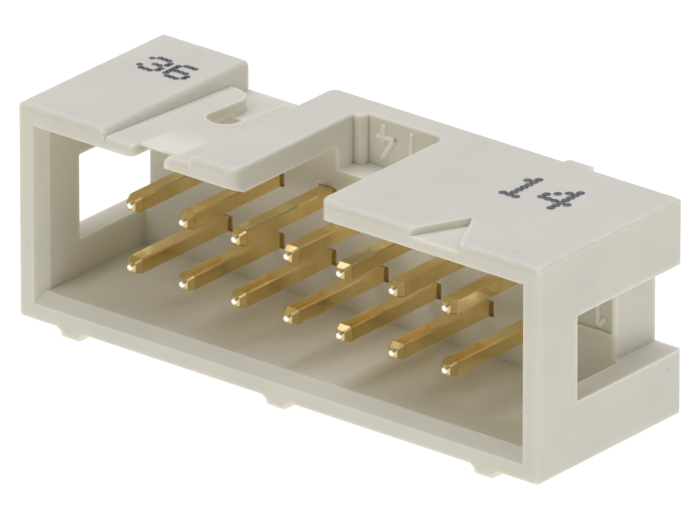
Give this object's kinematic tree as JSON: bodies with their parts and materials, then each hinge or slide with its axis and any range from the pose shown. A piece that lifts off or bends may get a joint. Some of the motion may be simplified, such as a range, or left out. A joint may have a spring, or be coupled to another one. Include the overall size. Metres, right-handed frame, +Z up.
{
  "type": "shrouded pin header",
  "caption": "Right-angle shrouded pin header: square gold pins in a moulded housing with a polarising slot, a coding recess and latch windows, for a ribbon-cable socket.",
  "frame": {"origin": "centre of the middle rib's underside, on the plane of the board", "axes": "+X along the rows of pins, +Y from the mating face to the rear, +Z up from the board"},
  "size_m": [0.0252, 0.0123, 0.0121],
  "materials": {
    "housing": "moulded, light warm grey, faint satin",
    "contact": "gold plated, smooth"
  },
  "bodies": {
    "root": {"housing": "housing", "contact_pin_01": "contact", "contact_pin_02": "contact", "contact_pin_03": "contact", "contact_pin_04": "contact", "contact_pin_05": "contact", "contact_pin_06": "contact", "contact_pin_07": "contact", "contact_pin_08": "contact", "contact_pin_09": "contact", "contact_pin_10": "contact", "contact_pin_11": "contact", "contact_pin_12": "contact", "contact_pin_13": "contact", "contact_pin_14": "contact"}
  },
  "joints": []
}
